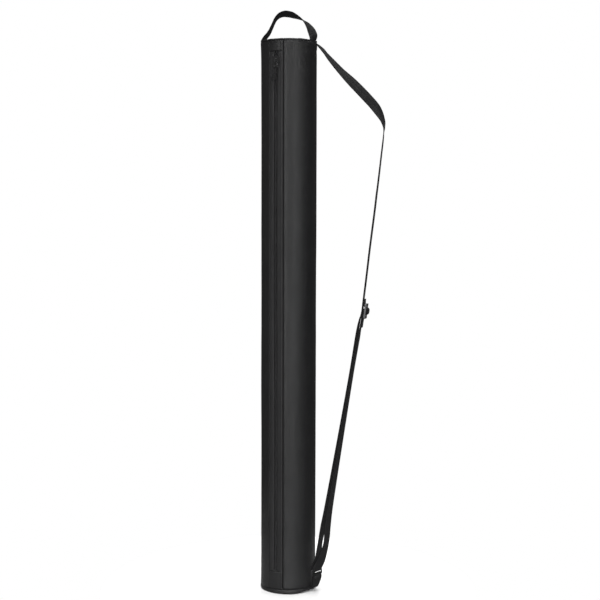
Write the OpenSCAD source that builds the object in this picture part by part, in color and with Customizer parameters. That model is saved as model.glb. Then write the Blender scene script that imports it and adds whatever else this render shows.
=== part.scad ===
// Long padded carrying bag: a zipped fabric tube with a hand loop and an adjustable shoulder strap.
// Millimetres, +Z up. The origin is the centre of the flat bottom, and -Y is the front.
// An azimuth is measured from the front (-Y) towards the right-hand side (+X).

/* [Tube] */
// Height of the standing bag without its hand loop
bag_h = 870; // [500:5:1100]
// Outer radius of the outer fabric
bag_r = 43; // [36:0.5:60]
// Thickness of the outer fabric
shell_t = 1; // [0.6:0.1:1.6]
// Thickness of the foam between the fabric layers
foam_t = 4; // [2:0.5:6]
// Thickness of the lining
lining_t = 0.8; // [0.4:0.1:1.2]
// Thickness of the stiff board in the bottom
board_t = 2; // [1:0.5:4]
// Height of the folded binding over each end seam
binding_h = 8; // [5:1:12]

/* [Zip] */
// Azimuth of the middle of the zip chain
zip_az = -28; // [-60:1:0]
// Width of the strip that shows between the two fabric edges
panel_w = 23.5; // [18:0.5:32]
// Height of the zip's lower end
zip_z0 = 34; // [25:1:80]
// Distance from the zip's upper end to the bag's top
zip_top_gap = 18; // [12:1:40]
// Width of the closed chain
chain_w = 7; // [5:0.5:9]
// Length of the slider
slider_len = 16; // [12:0.5:20]
// Width of the slider
slider_w = 12.5; // [10:0.5:15]
// Length of the pull from its eye to its tip
pull_len = 27; // [20:1:34]

/* [Webbing] */
// Width of the webbing
web_w = 15; // [12:1:20]
// Thickness of the webbing
web_t = 1.5; // [1:0.1:2]
// Diameter of the ring's bars
ring_d = 2.4; // [2:0.1:3]
// Distance between the ring's two long bars, centre to centre
ring_pitch = 9.5; // [8.5:0.5:11]
// Length of the three-bar slide along the strap
glide_len = 24; // [22:0.5:28]
// Thickness of the three-bar slide
glide_t = 2.6; // [2:0.1:3.5]

/* [Hidden] */
$fn = 64;
gap = 0.3;
skin_gap = 0.05;
cap_t = 1.2;
binding_out = 1.3;
top_z = bag_h - cap_t;
fabric = "#26262a";
foam_grey = "#6b6d70";
lining_grey = "#3a3a3e";
web_black = "#1c1c1f";
metal_black = "#2f3034";
plastic_grey = "#3a3a3d";
thread_black = "#303034";

// ---------- Tube sizes ----------
foam_r = bag_r - shell_t - skin_gap;
lining_r = foam_r - foam_t - skin_gap;
inner_r = lining_r - lining_t;
zip_z1 = bag_h - zip_top_gap;
deg_per_mm = 180 / (PI * bag_r);
panel_deg = panel_w * deg_per_mm;
inner_slot_deg = (panel_w + 6) * deg_per_mm;

// ---------- Zip sizes, seen from outside: x to the right, y inwards, z up ----------
tape_t = 0.6;
tape_r = bag_r - shell_t - skin_gap;
tape_lap = 3;
coil_t = 2;
coil_gap = 1.6;
coil_r = tape_r + 0.7;
plate_t = 1.3;
channel_r0 = coil_r - coil_t - gap;
channel_r1 = coil_r + gap;
slider_top_r = channel_r1 + plate_t;
slider_z = zip_z1 - slider_len / 2 - 9;
bridge_w = 2.2;
bridge_len = 10.4;
bridge_leg = 1.6;
bridge_h = 3.6;
bridge_bar = 1.2;
pin_d = 1.5;
pull_t = 1.5;
pull_w0 = 6;
pull_w1 = 8.8;
eye_w = 3.2;
eye_len = 9;
pull_hole_d = 3.4;
pull_lean = 5;
pivot_z = slider_z - 2.4;
pivot_r = slider_top_r + bridge_h - bridge_bar - pin_d / 2 - gap;

// ---------- Ring frame: ring_at is the middle of the lower bar ----------
function unit(v) = v / norm(v);
function square_to(v, n) = unit(v - n * (v * n));
ring_at = [45.5, -24.5, 27];
ring_side = unit([0.87, 0.45, 0.2]);
ring_up = square_to([-0.06, -0.3, 0.95], ring_side);
ring_out = cross(ring_side, ring_up);
ring_r = ring_d / 2;
wrap_r = ring_r + gap + web_t / 2;
turn_r = ring_r + 4 * gap + web_t / 2;
ring_half = web_w / 2 + gap + ring_r;
ring_top = ring_at + ring_up * ring_pitch;

// ---------- Strap frame at the three-bar slide ----------
glide_at = [117, -9, 448.5];
glide_dir = unit([0.115, 0.012, 0.993]);
glide_side = square_to([0.2, 0.98, 0], glide_dir);
glide_out = cross(glide_side, glide_dir);
sewn_gap = 0.1;
plate_lift = web_t / 2 + gap + 2 * web_t + 2 * sewn_gap;
bar_w = 4.4;
rail_w = 3.2;
glide_half_w = web_w / 2 + gap + rail_w;
function by_glide(u, n) = glide_at + glide_dir * u + glide_out * n;
under_n = web_t + gap;
sewn_n = under_n + web_t + sewn_gap;
over_n = plate_lift + glide_t + sewn_gap + web_t / 2;
turn_u = bar_w / 2 + gap + web_t / 2;

// ---------- Webbing ----------
// A route is a list of [point, direction of the width]; in between it is a smooth curve.
function pick(r, i, k) = r[max(0, min(len(r) - 1, i))][k];
function curve(a, b, c, d, t) =
    0.5 * (2 * b + (c - a) * t + (2 * a - 5 * b + 4 * c - d) * t * t
    + (3 * b - a - 3 * c + d) * t * t * t);
function at_step(r, i, t) = [
    curve(pick(r, i - 1, 0), pick(r, i, 0), pick(r, i + 1, 0), pick(r, i + 2, 0), t),
    pick(r, i, 1) * (1 - t) + pick(r, i + 1, 1) * t
];
function smooth(r, n) = concat(
    [for (i = [0 : len(r) - 2]) for (j = [0 : n - 1]) at_step(r, i, j / n)],
    [r[len(r) - 1]]
);
function ring_corners(s, i) =
    let (
        run = unit(pick(s, i + 1, 0) - pick(s, i - 1, 0)),
        wide = square_to(s[i][1], run) * web_w / 2,
        thick = cross(run, unit(wide)) * web_t / 2,
        p = s[i][0]
    )
    [p - wide - thick, p + wide - thick, p + wide + thick, p - wide + thick];

module ribbon(route, steps = 3) {
    s = smooth(route, steps);
    last = 4 * (len(s) - 1);
    points = [for (i = [0 : len(s) - 1]) each ring_corners(s, i)];
    sides = [
        for (i = [0 : len(s) - 2]) for (k = [0 : 3])
            let (a = 4 * i + k, b = 4 * i + (k + 1) % 4)
            each [[a, b, b + 4], [a, b + 4, a + 4]]
    ];
    ends = [[2, 1, 0], [3, 2, 0], [last, last + 1, last + 2], [last, last + 2, last + 3]];
    polyhedron(points, concat(sides, ends), convexity = 6);
}

// Hand loop, from its left end to its right end
hand_left = [
    [[-45.1, 0, 863], [0, 1, 0]],
    [[-45.1, 0, 869.4], [0, 1, 0]],
    [[-43.4, -0.5, 873], [0, 1, 0]],
    [[-39.4, -1.1, 876.3], [0, 1, 0]]
];
hand_span = [
    [[-35.2, -2, 881.4], [0.04, 1, 0]],
    [[-30.5, -3.5, 888], [0.14, 0.99, 0]],
    [[-26, -5, 896], [0.2, 0.98, -0.05]],
    [[-21, -6.5, 904], [0.22, 0.96, -0.15]],
    [[-13, -9, 911.3], [0.12, 0.88, -0.46]],
    [[-3, -11, 913], [0, 0.78, -0.62]],
    [[9, -15, 911.2], [-0.05, 0.84, -0.54]],
    [[21, -18, 905], [0.1, 1, -0.05]],
    [[29, -20, 898.5], [0.5, 0.85, 0.15]],
    [[33.5, -21.5, 891], [0.8, 0.6, 0.05]],
    [[35.6, -22.2, 885], [0.85, 0.52, 0]],
    [[36.1, -22.6, 882.6], [0.86, 0.5, 0]]
];
hand_right = [
    [[37.1, -23.6, 876.2], [0.76, 0.65, 0]],
    [[37.5, -24.1, 873], [0.66, 0.75, 0]],
    [[37.9, -24.6, 869.6], [0.545, 0.838, 0]],
    [[37.9, -24.6, 863], [0.545, 0.838, 0]]
];

// Shoulder strap, from the top seam to the ring and back up to the slide
strap_stub = [
    [[45.25, -5.4, 859.5], [0.1, 1, 0]],
    [[45.5, -5.4, 864], [0.1, 1, 0]],
    [[48.2, -5.2, 863.4], [0.12, 1, 0.1]],
    [[53, -5, 857], [0.2, 0.95, 0.2]],
    [[57.6, -5, 851.4], [0.3, 0.92, 0.27]]
];
strap_down = [
    [[58.7, -5, 850.1], [0.3, 0.92, 0.27]],
    [[65.3, -5, 842.2], [0.4, 0.84, 0.36]],
    [[82.3, -5, 823.6], [0.53, 0.66, 0.5]],
    [[101, -5, 805], [0.7, 0.24, 0.66]],
    [[119.2, -5, 786.5], [0.73, 0.05, 0.68]],
    [[136, -5, 768], [0.76, 0.2, 0.6]],
    [[146.5, -5, 750], [0.55, 0.8, 0.2]],
    [[149.3, -5, 738], [0.25, 0.97, 0.05]],
    [[149, -5, 729], [0.06, 1, 0]],
    [[147.5, -5.2, 711], [0, 1, 0]],
    [[141.2, -6, 655], [0.02, 1, 0]],
    [glide_at + glide_dir * 180, glide_side],
    [glide_at + glide_dir * 166, glide_side],
    [glide_at + glide_dir * 80, glide_side],
    [glide_at - glide_dir * 14, glide_side]
];
strap_under = [
    [glide_at - glide_dir * 14.4, glide_side],
    [[107.8, -10.4, 410], [0.26, 0.97, 0]],
    [[99.2, -11, 350], [0.34, 0.94, 0]],
    [[86.3, -13, 273], [0.44, 0.9, 0]],
    [[72.7, -15.4, 196], [0.48, 0.87, 0]],
    [[61.7, -17.6, 136.2], [0.48, 0.87, 0]]
];
strap_back = [
    [[67.8, -19.6, 136.8], [0.48, 0.87, 0]],
    [[76.6, -17.2, 196], [0.48, 0.87, 0]],
    [[88.7, -14.2, 273], [0.44, 0.9, 0]],
    [[101.3, -12, 350], [0.34, 0.94, 0]],
    [[111.2, -11.1, 405], [0.26, 0.97, 0]]
];
// Both legs of the strap's lowest stretch, round the ring's upper bar
function round_bar(centre, angle, radius) =
    centre + radius * (ring_out * cos(angle) + ring_up * sin(angle));
strap_turn = concat(
    [
        [[61.4, -17.6, 134.6], [0.48, 0.87, 0]],
        [[55.5, -18.5, 105], [0.5, 0.86, 0.02]],
        [[50.8, -20, 76], [0.6, 0.8, 0.06]],
        [[46.3, -22.6, 52], [0.8, 0.55, 0.15]],
        [ring_top - ring_out * turn_r + ring_up * 3.5, ring_side]
    ],
    [for (a = [180 : 36 : 360]) [round_bar(ring_top, a, turn_r), ring_side]],
    [
        [ring_top + ring_out * turn_r + ring_up * 3.5, ring_side],
        [[53.5, -27.8, 52], [0.8, 0.55, 0.15]],
        [[60.6, -26, 78], [0.6, 0.8, 0.06]],
        [[64, -22.6, 105], [0.5, 0.86, 0.02]],
        [[67.5, -19.6, 135], [0.48, 0.87, 0]]
    ]
);
// Folded tab that holds the ring's lower bar, both ends caught in the bottom seam
tab_root = [41.2, -21.4, 6];
tab_fold = concat(
    [
        [tab_root + [1.5, -0.9, 0], [0.6, 0.8, 0]],
        [[45.3, -24, 14], [0.75, 0.6, 0.1]],
        [ring_at + ring_out * wrap_r - ring_up * 4, ring_side]
    ],
    [for (a = [0 : 30 : 180]) [round_bar(ring_at, a, wrap_r), ring_side]],
    [
        [ring_at - ring_out * wrap_r - ring_up * 4, ring_side],
        [[43.3, -22.2, 15], [0.75, 0.6, 0.1]],
        [tab_root, [0.6, 0.8, 0]]
    ]
);

// ---------- Helpers ----------
// A ring of fabric round the axis
module tube(r_out, r_in, z0, z1) {
    translate([0, 0, z0])
        difference() {
            cylinder(r = r_out, h = z1 - z0);
            translate([0, 0, -1]) cylinder(r = r_in, h = z1 - z0 + 2);
        }
}

// Cuts the sector from azimuth a0 to a1 out to radius r
module sector(a0, a1, r, z0, z1) {
    mid = (a0 + a1) / 2;
    steps = 6;
    reach = r / cos((a1 - a0) / 2 / steps);
    outline = [for (i = [0 : steps])
        let (a = a0 + (a1 - a0) * i / steps) [reach * sin(a), -reach * cos(a)]];
    translate([0, 0, z0])
        linear_extrude(z1 - z0)
            polygon(concat([[0.1 * sin(mid), -0.1 * cos(mid)]], outline));
}

module tube_part(r_out, r_in, z0, z1, a0, a1) {
    intersection() {
        tube(r_out, r_in, z0, z1);
        sector(a0, a1, r_out * 1.5, z0, z1);
    }
}

// Puts a child that looks to the front at the zip's azimuth
module at_zip() {
    rotate([0, 0, zip_az]) children();
}

// A block seen from outside: x0..x1 across, from radius r0 out to r1, z0..z1
module zip_block(x0, x1, r0, r1, z0, z1) {
    translate([x0, -r1, z0]) cube([x1 - x0, r1 - r0, z1 - z0]);
}

// Turns the axes of a child onto three given directions
module onto(place, side, out, up) {
    multmatrix([
        [side[0], out[0], up[0], place[0]],
        [side[1], out[1], up[1], place[1]],
        [side[2], out[2], up[2], place[2]],
        [0, 0, 0, 1]
    ]) children();
}

module rounded_plate(w, l, t, r) {
    linear_extrude(t) {
        square([w - 2 * r, l], center = true);
        square([w, l - 2 * r], center = true);
        for (sx = [-1, 1]) for (sy = [-1, 1])
            translate([sx * (w / 2 - r), sy * (l / 2 - r)]) circle(r);
    }
}

// ---------- Tube ----------
module wall_with_slot(r_out, r_in, z0, z1, slot_deg, slot_z0, slot_z1) {
    difference() {
        tube(r_out, r_in, z0, z1);
        sector(zip_az - slot_deg / 2, zip_az + slot_deg / 2, r_out * 1.5, slot_z0, slot_z1);
    }
}

module outer_shell() {
    color(fabric)
        wall_with_slot(bag_r, bag_r - shell_t, cap_t + skin_gap, top_z - skin_gap,
            panel_deg, zip_z0, zip_z1);
}

module foam_padding() {
    color(foam_grey)
        wall_with_slot(foam_r, foam_r - foam_t, 14, bag_h - 14, inner_slot_deg,
            zip_z0 - 4, zip_z1 + 4);
}

module lining() {
    color(lining_grey)
        wall_with_slot(lining_r, inner_r, 14, bag_h - 14, inner_slot_deg,
            zip_z0 - 4, zip_z1 + 4);
}

module top_end_cap() {
    color(fabric) translate([0, 0, top_z]) cylinder(r = bag_r - 0.6, h = cap_t);
}

module bottom_end_cap() {
    color(fabric) cylinder(r = bag_r - 0.6, h = cap_t);
}

module top_foam_disc() {
    color(foam_grey) translate([0, 0, top_z - foam_t - skin_gap])
        cylinder(r = foam_r - 1.8, h = foam_t);
}

module bottom_board() {
    color("#4a4a4c") translate([0, 0, cap_t + skin_gap]) cylinder(r = foam_r - 1.8, h = board_t);
}

module bottom_foam_disc() {
    color(foam_grey) translate([0, 0, cap_t + board_t + 2 * skin_gap])
        cylinder(r = foam_r - 1.8, h = foam_t);
}

// A folded band over the end seam: rounded at its outer edge, open over the shell's wall
module rim_binding(flip) {
    fold_r = 1.2;
    translate([0, 0, flip ? bag_h : 0])
        mirror([0, 0, flip ? 1 : 0])
            rotate_extrude($fn = 96)
                difference() {
                    union() {
                        translate([bag_r - 0.5, fold_r])
                            square([binding_out + 0.5, binding_h - fold_r]);
                        translate([bag_r - 0.5, 0])
                            square([binding_out + 0.5 - fold_r, fold_r]);
                        translate([bag_r + binding_out - fold_r, fold_r])
                            circle(fold_r, $fn = 32);
                    }
                    translate([0, cap_t])
                        square([bag_r + skin_gap, binding_h]);
                    square([bag_r - 0.5, binding_h]);
                }
}

module top_rim_binding() {
    color(fabric) rim_binding(true);
}

module bottom_rim_binding() {
    color(fabric) rim_binding(false);
}

// Bound seam allowance inside each end
module inner_seam_tape_top() {
    color(thread_black) tube(foam_r - 0.1, foam_r - 1.6, bag_h - 13.8, top_z - 0.2);
}

module inner_seam_tape_bottom() {
    color(thread_black) tube(foam_r - 0.1, foam_r - 1.6, cap_t + 0.2, 13.8);
}

// ---------- Zip ----------
module zip_tape(side) {
    inner_deg = (coil_gap / 2 + 1) * deg_per_mm;
    outer_deg = (panel_w / 2 + tape_lap) * deg_per_mm;
    a0 = zip_az + (side < 0 ? -outer_deg : inner_deg);
    a1 = zip_az + (side < 0 ? -inner_deg : outer_deg);
    tube_part(tape_r, tape_r - tape_t, zip_z0 - 3, zip_z1 + 3, a0, a1);
}

module zip_tape_left() {
    color(web_black) zip_tape(-1);
}

module zip_tape_right() {
    color(web_black) zip_tape(1);
}

module zip_coil(side) {
    x0 = side < 0 ? -chain_w / 2 : coil_gap / 2;
    at_zip() difference() {
        zip_block(x0, x0 + (chain_w - coil_gap) / 2, coil_r - coil_t, coil_r, zip_z0, zip_z1);
        rotate([0, 0, -zip_az]) tube(tape_r + skin_gap, tape_r - tape_t - skin_gap, 0, bag_h);
    }
}

module zip_coil_left() {
    color(web_black) zip_coil(-1);
}

module zip_coil_right() {
    color(web_black) zip_coil(1);
}

module zip_top_stops() {
    color(metal_black) at_zip()
        for (x = [-3.2, 0.7])
            zip_block(x, x + 2.5, coil_r + skin_gap, coil_r + 1, zip_z1 - 4.5, zip_z1 - 1);
}

module zip_bottom_stop() {
    color(metal_black) at_zip()
        zip_block(-3.6, 3.6, coil_r + skin_gap, coil_r + 1, zip_z0 + 1, zip_z0 + 5);
}

// Strip of fabric that closes the panel above or below the zip
module zip_patch(z0, z1) {
    half = panel_deg / 2 - 0.2;
    tube_part(bag_r + 0.8, bag_r + skin_gap, z0, z1, zip_az - half, zip_az + half);
}

module zip_top_patch() {
    color(fabric) zip_patch(zip_z1 + 0.2, bag_h - binding_h - 0.2);
}

module zip_bottom_patch() {
    color(fabric) zip_patch(binding_h + 0.2, zip_z0 - 0.2);
}

module zip_topstitching() {
    thread = 0.6;
    edge = panel_deg / 2 + 1.6 * deg_per_mm;
    color(thread_black)
        for (s = [-1, 1])
            tube_part(bag_r + 0.35, bag_r + skin_gap, binding_h + 0.5, bag_h - binding_h - 0.5,
                zip_az + s * edge - thread * deg_per_mm / 2,
                zip_az + s * edge + thread * deg_per_mm / 2);
}

// Slider: a block with a channel for the coils and a slit for the tapes, the neck that parts
// the coils, and the bridge that holds the pull
module zip_slider() {
    z0 = slider_z - slider_len / 2;
    z1 = slider_z + slider_len / 2;
    flange = 1.1;
    neck = 0.45;
    neck_len = 4.5;
    half = slider_w / 2;
    slit_r0 = tape_r - tape_t - 1.1;
    slit_r1 = tape_r + 0.35;
    window_len = bridge_len - 2 * bridge_leg;
    color(metal_black) at_zip() difference() {
        union() {
            zip_block(-half, half, channel_r0 - plate_t, slider_top_r, z0, z1);
            zip_block(-bridge_w / 2, bridge_w / 2, slider_top_r - 0.5, slider_top_r + bridge_h,
                slider_z - bridge_len / 2, slider_z + bridge_len / 2);
        }
        difference() {
            union() {
                zip_block(flange - half, half - flange, channel_r0, channel_r1, z0 - 1, z1 + 1);
                zip_block(-half - 1, half + 1, slit_r0, slit_r1, z0 - 1, z1 + 1);
            }
            zip_block(-neck, neck, channel_r0 - 1, channel_r1 + 1, z1 - neck_len, z1 + 2);
        }
        zip_block(-bridge_w, bridge_w, slider_top_r, slider_top_r + bridge_h - bridge_bar,
            slider_z - window_len / 2, slider_z + window_len / 2);
    }
}

// Pull: a tapered plate with an eye round the bridge, hanging from its cross pin
module zip_pull() {
    low = pull_len - pull_w1 / 2;
    color(metal_black) at_zip()
        translate([0, -pivot_r, pivot_z])
            rotate([0, pull_lean, 0]) {
                rotate([0, 90, 0])
                    cylinder(d = pin_d, h = pull_w0, center = true, $fn = 32);
                rotate([90, 0, 0])
                    difference() {
                        translate([0, 0, -pull_t / 2])
                            linear_extrude(pull_t) {
                                polygon([
                                    [-pull_w0 / 2, 0], [pull_w0 / 2, 0],
                                    [pull_w1 / 2, -low], [-pull_w1 / 2, -low]
                                ]);
                                translate([0, -low]) circle(pull_w1 / 2);
                            }
                        translate([-eye_w / 2, -eye_len, -pull_t])
                            cube([eye_w, eye_len - pin_d / 2 + 0.1, 2 * pull_t]);
                        translate([0, -low - 0.6, -pull_t])
                            cylinder(d = pull_hole_d, h = 2 * pull_t, $fn = 32);
                    }
            }
}

// ---------- Hand loop ----------
module handle_foot_left() {
    color(web_black) ribbon(hand_left);
}

module handle_foot_right() {
    color(web_black) ribbon(hand_right);
}

module handle_loop() {
    color(web_black) ribbon(hand_span);
}

// ---------- Shoulder strap ----------
module strap_top_anchor() {
    color(web_black) ribbon(strap_stub);
}

module strap_upper() {
    color(web_black) ribbon(strap_down);
}

module strap_lower() {
    color(web_black) ribbon(strap_under);
}

module strap_return() {
    color(web_black) ribbon(strap_back);
}

module strap_ring_loop() {
    color(web_black) ribbon(strap_turn);
}

// The strap's end: round the middle bar of the slide and sewn to itself
module strap_end_loop() {
    color(web_black) ribbon([
        [by_glide(-37, under_n), glide_side],
        [by_glide(-16, under_n), glide_side],
        [by_glide(-turn_u, under_n), glide_side],
        [by_glide(turn_u - 0.6, under_n + 0.2), glide_side],
        [by_glide(turn_u + 0.2, (over_n + under_n) / 2), glide_side],
        [by_glide(turn_u - 0.8, over_n - 0.1), glide_side],
        [by_glide(0, over_n + 0.1), glide_side],
        [by_glide(0.8 - turn_u, over_n - 0.1), glide_side],
        [by_glide(-turn_u - 0.2, (over_n + sewn_n) / 2 + 0.2), glide_side],
        [by_glide(-turn_u - 1.6, sewn_n + 0.5), glide_side],
        [by_glide(-turn_u - 4.4, sewn_n), glide_side],
        [by_glide(-16, sewn_n), glide_side],
        [by_glide(-27, sewn_n), glide_side]
    ], 2);
}

// The strap where it comes up through one slot, over the sewn loop and down the other slot
module strap_bight() {
    dip_u = turn_u + web_t + 0.5;
    bight_n = over_n + web_t + 0.35;
    color(web_black) ribbon([
        [by_glide(19, under_n + 0.1), glide_side],
        [by_glide(11, under_n + 0.4), glide_side],
        [by_glide(dip_u + 1.8, plate_lift - 0.9), glide_side],
        [by_glide(dip_u + 0.3, plate_lift + 0.9), glide_side],
        [by_glide(dip_u + 0.2, plate_lift + glide_t), glide_side],
        [by_glide(dip_u - 1.2, bight_n - 0.6), glide_side],
        [by_glide(2, bight_n + 0.2), glide_side],
        [by_glide(-2, bight_n + 0.2), glide_side],
        [by_glide(1.2 - dip_u, bight_n - 0.6), glide_side],
        [by_glide(-0.2 - dip_u, plate_lift + glide_t), glide_side],
        [by_glide(-0.3 - dip_u, plate_lift + 0.7), glide_side]
    ], 2);
}

module strap_end_stitches() {
    out_n = sewn_n + web_t / 2 + 0.15 + skin_gap;
    color(thread_black)
        onto(glide_at, glide_side, glide_out, glide_dir)
            for (x = [-4.5, -1.5, 1.5, 4.5])
                translate([x, out_n, -21]) cube([0.6, 0.3, 9], center = true);
}

// Three-bar slide: a flat frame with two slots
module tri_glide() {
    slot_len = (glide_len - bar_w - 2 * 2.8) / 2;
    color(plastic_grey)
        onto(glide_at, glide_side, glide_out, glide_dir)
            translate([0, plate_lift + glide_t, 0])
                rotate([90, 0, 0])
                    difference() {
                        rounded_plate(2 * glide_half_w, glide_len, glide_t, 2.2);
                        for (s = [-1, 1])
                            translate([0, s * (bar_w + slot_len) / 2, -1])
                                rounded_plate(web_w + 2 * gap, slot_len, glide_t + 2, 0.6);
                    }
}

// Rectangular ring of round bar
module strap_ring() {
    color(plastic_grey)
        onto(ring_at, ring_side, ring_out, ring_up) {
            for (z = [0, ring_pitch])
                translate([0, 0, z]) rotate([0, 90, 0])
                    cylinder(r = ring_r, h = 2 * ring_half, center = true);
            for (s = [-1, 1]) {
                translate([s * ring_half, 0, 0]) cylinder(r = ring_r, h = ring_pitch);
                for (z = [0, ring_pitch]) translate([s * ring_half, 0, z]) sphere(ring_r);
            }
        }
}

module ring_tab() {
    color(web_black) ribbon(tab_fold);
}

module ring_tab_stitches() {
    color(thread_black)
        onto(ring_at, ring_side, ring_out, ring_up)
            for (x = [-4.5, -1.5, 1.5, 4.5])
                translate([x, wrap_r + web_t / 2 + 0.4, -2.2]) cube([0.6, 0.3, 3], center = true);
}

outer_shell();
foam_padding();
lining();
top_end_cap();
bottom_end_cap();
top_foam_disc();
bottom_foam_disc();
bottom_board();
top_rim_binding();
bottom_rim_binding();
inner_seam_tape_top();
inner_seam_tape_bottom();
zip_tape_left();
zip_tape_right();
zip_coil_left();
zip_coil_right();
zip_top_stops();
zip_bottom_stop();
zip_top_patch();
zip_bottom_patch();
zip_topstitching();
zip_slider();
zip_pull();
handle_foot_left();
handle_foot_right();
handle_loop();
strap_top_anchor();
strap_upper();
strap_lower();
strap_return();
strap_ring_loop();
strap_end_loop();
strap_bight();
strap_end_stitches();
tri_glide();
strap_ring();
ring_tab();
ring_tab_stitches();
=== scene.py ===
"""A long padded carrying bag with a zip, a hand loop and a shoulder strap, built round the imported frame."""

import math

import bmesh
import bpy
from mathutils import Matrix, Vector, noise


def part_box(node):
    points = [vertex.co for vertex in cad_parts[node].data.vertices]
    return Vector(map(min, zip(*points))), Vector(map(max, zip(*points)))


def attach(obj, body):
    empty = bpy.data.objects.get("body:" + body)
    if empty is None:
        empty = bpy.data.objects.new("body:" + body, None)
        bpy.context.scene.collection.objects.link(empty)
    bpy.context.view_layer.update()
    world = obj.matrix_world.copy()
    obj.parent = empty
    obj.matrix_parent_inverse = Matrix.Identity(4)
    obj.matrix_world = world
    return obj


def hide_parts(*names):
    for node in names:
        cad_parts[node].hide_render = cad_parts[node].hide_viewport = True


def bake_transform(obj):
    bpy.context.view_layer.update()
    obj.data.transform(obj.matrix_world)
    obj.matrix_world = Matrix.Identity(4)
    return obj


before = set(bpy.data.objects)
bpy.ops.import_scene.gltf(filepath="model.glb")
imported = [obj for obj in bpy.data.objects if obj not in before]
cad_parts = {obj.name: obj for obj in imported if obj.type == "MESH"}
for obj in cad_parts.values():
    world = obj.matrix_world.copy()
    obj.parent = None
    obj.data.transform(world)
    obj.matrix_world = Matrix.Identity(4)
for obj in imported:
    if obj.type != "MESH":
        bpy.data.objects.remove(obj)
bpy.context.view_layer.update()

MM = 0.001
# The tube, from the frame
shell_low, shell_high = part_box("outer_shell")
cap_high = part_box("top_end_cap")[1]
coil_low, coil_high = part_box("zip_coil_left")
TOP = cap_high[2]
R = (shell_high[1] - shell_low[1]) / 2
ZIP_AZ = math.radians(-28)
ZIP_Z0, ZIP_Z1 = coil_low[2], coil_high[2]
PANEL_W = 23.5 * MM
PANEL = PANEL_W / R
WEB_W, WEB_T = 15 * MM, 1.5 * MM
STITCH_R, SEAM_STITCH_R, BOX_STITCH_R = 0.28 * MM, 0.26 * MM, 0.24 * MM
STITCH_SIDES = 6
# The stage: the camera's place, and how bright the ground is when seen and as a light
CAMERA_PITCH = math.radians(4.2)
CAMERA_ROLL = math.radians(0.13)
CAMERA_AT = (0.018, 0, 0.604)
CAMERA_DISTANCE = 1.9
CAMERA_LENS = 71.8
FLOOR_R = 0.3
FLOOR_SEEN, FLOOR_BOUNCE = (0.92, 0.92, 0.92), (0.3, 0.3, 0.3)
WORLD_SEEN, WORLD_LIGHT = 1.0, 0.06


# ---------------------------------------------------------------- camera and light
def look(pitch, roll, at, distance, lens):
    """A camera level with at, distance in front of it, that looks along +Y and is pitched down."""
    data = bpy.data.cameras.new("camera")
    cam = bpy.data.objects.new("camera", data)
    bpy.context.scene.collection.objects.link(cam)
    cam.location = Vector(at) - Vector((0, distance, 0))
    cam.rotation_euler = (math.pi / 2 - pitch, 0, 0)
    cam.rotation_euler.rotate_axis("Z", roll)
    data.lens = lens
    data.sensor_width = 36
    bpy.context.scene.camera = cam


def area_light(name, place, aim, size, power):
    """A flat rectangular light at place that faces aim."""
    data = bpy.data.lights.new(name, "AREA")
    data.shape = "RECTANGLE"
    data.size, data.size_y = size
    data.energy = power
    lamp = bpy.data.objects.new(name, data)
    bpy.context.scene.collection.objects.link(lamp)
    lamp.location = place
    lamp.rotation_euler = (Vector(aim) - Vector(place)).to_track_quat("-Z", "Y").to_euler()


# ---------------------------------------------------------------- materials
class Nodes:
    """Short calls to build a material's node tree."""

    def __init__(self, name, rough, sheen=0.0, coat=0.0, ior=1.45, specular=0.5):
        self.mat = bpy.data.materials.new(name)
        self.mat.use_nodes = True
        self.tree = self.mat.node_tree
        self.shader = self.tree.nodes["Principled BSDF"]
        self.shader.inputs["Roughness"].default_value = rough
        self.shader.inputs["Sheen Weight"].default_value = sheen
        self.shader.inputs["Sheen Roughness"].default_value = 0.45
        self.shader.inputs["Coat Weight"].default_value = coat
        self.shader.inputs["IOR"].default_value = ior
        self.shader.inputs["Specular IOR Level"].default_value = specular

    def add(self, kind, **values):
        node = self.tree.nodes.new(kind)
        for key, value in values.items():
            if key in node.inputs:
                node.inputs[key].default_value = value
            else:
                setattr(node, key, value)
        return node

    def link(self, a, b):
        self.tree.links.new(a, b)

    def math(self, op, a, b=0.0):
        node = self.add("ShaderNodeMath", operation=op)
        for socket, value in zip(node.inputs, (a, b)):
            if isinstance(value, (int, float)):
                socket.default_value = value
            else:
                self.link(value, socket)
        return node.outputs[0]

    def uv(self):
        """The piece's own surface coordinates, in metres across and along."""
        split = self.add("ShaderNodeSeparateXYZ")
        self.link(self.add("ShaderNodeUVMap", uv_map="cloth").outputs[0], split.inputs[0])
        return split.outputs[0], split.outputs[1]

    def noise(self, scale, detail=3.0):
        node = self.add("ShaderNodeTexNoise")
        node.inputs["Scale"].default_value = scale
        node.inputs["Detail"].default_value = detail
        self.link(self.add("ShaderNodeTexCoord").outputs["Object"], node.inputs["Vector"])
        return node.outputs["Fac"]

    def ramp(self, value, low, high, out0, out1):
        node = self.add("ShaderNodeMapRange")
        self.link(value, node.inputs["Value"])
        for key, number in zip(("From Min", "From Max", "To Min", "To Max"), (low, high, out0, out1)):
            node.inputs[key].default_value = number
        return node.outputs["Result"]

    def colour(self, value, dark, light):
        node = self.add("ShaderNodeMix", data_type="RGBA")
        self.link(value, node.inputs["Factor"])
        node.inputs["A"].default_value = (*dark, 1)
        node.inputs["B"].default_value = (*light, 1)
        self.link(node.outputs["Result"], self.shader.inputs["Base Color"])

    def rough(self, value):
        self.link(value, self.shader.inputs["Roughness"])

    def bump(self, height, distance, strength):
        node = self.add("ShaderNodeBump")
        node.inputs["Strength"].default_value = strength
        node.inputs["Distance"].default_value = distance
        self.link(height, node.inputs["Height"])
        self.link(node.outputs[0], self.shader.inputs["Normal"])


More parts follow.
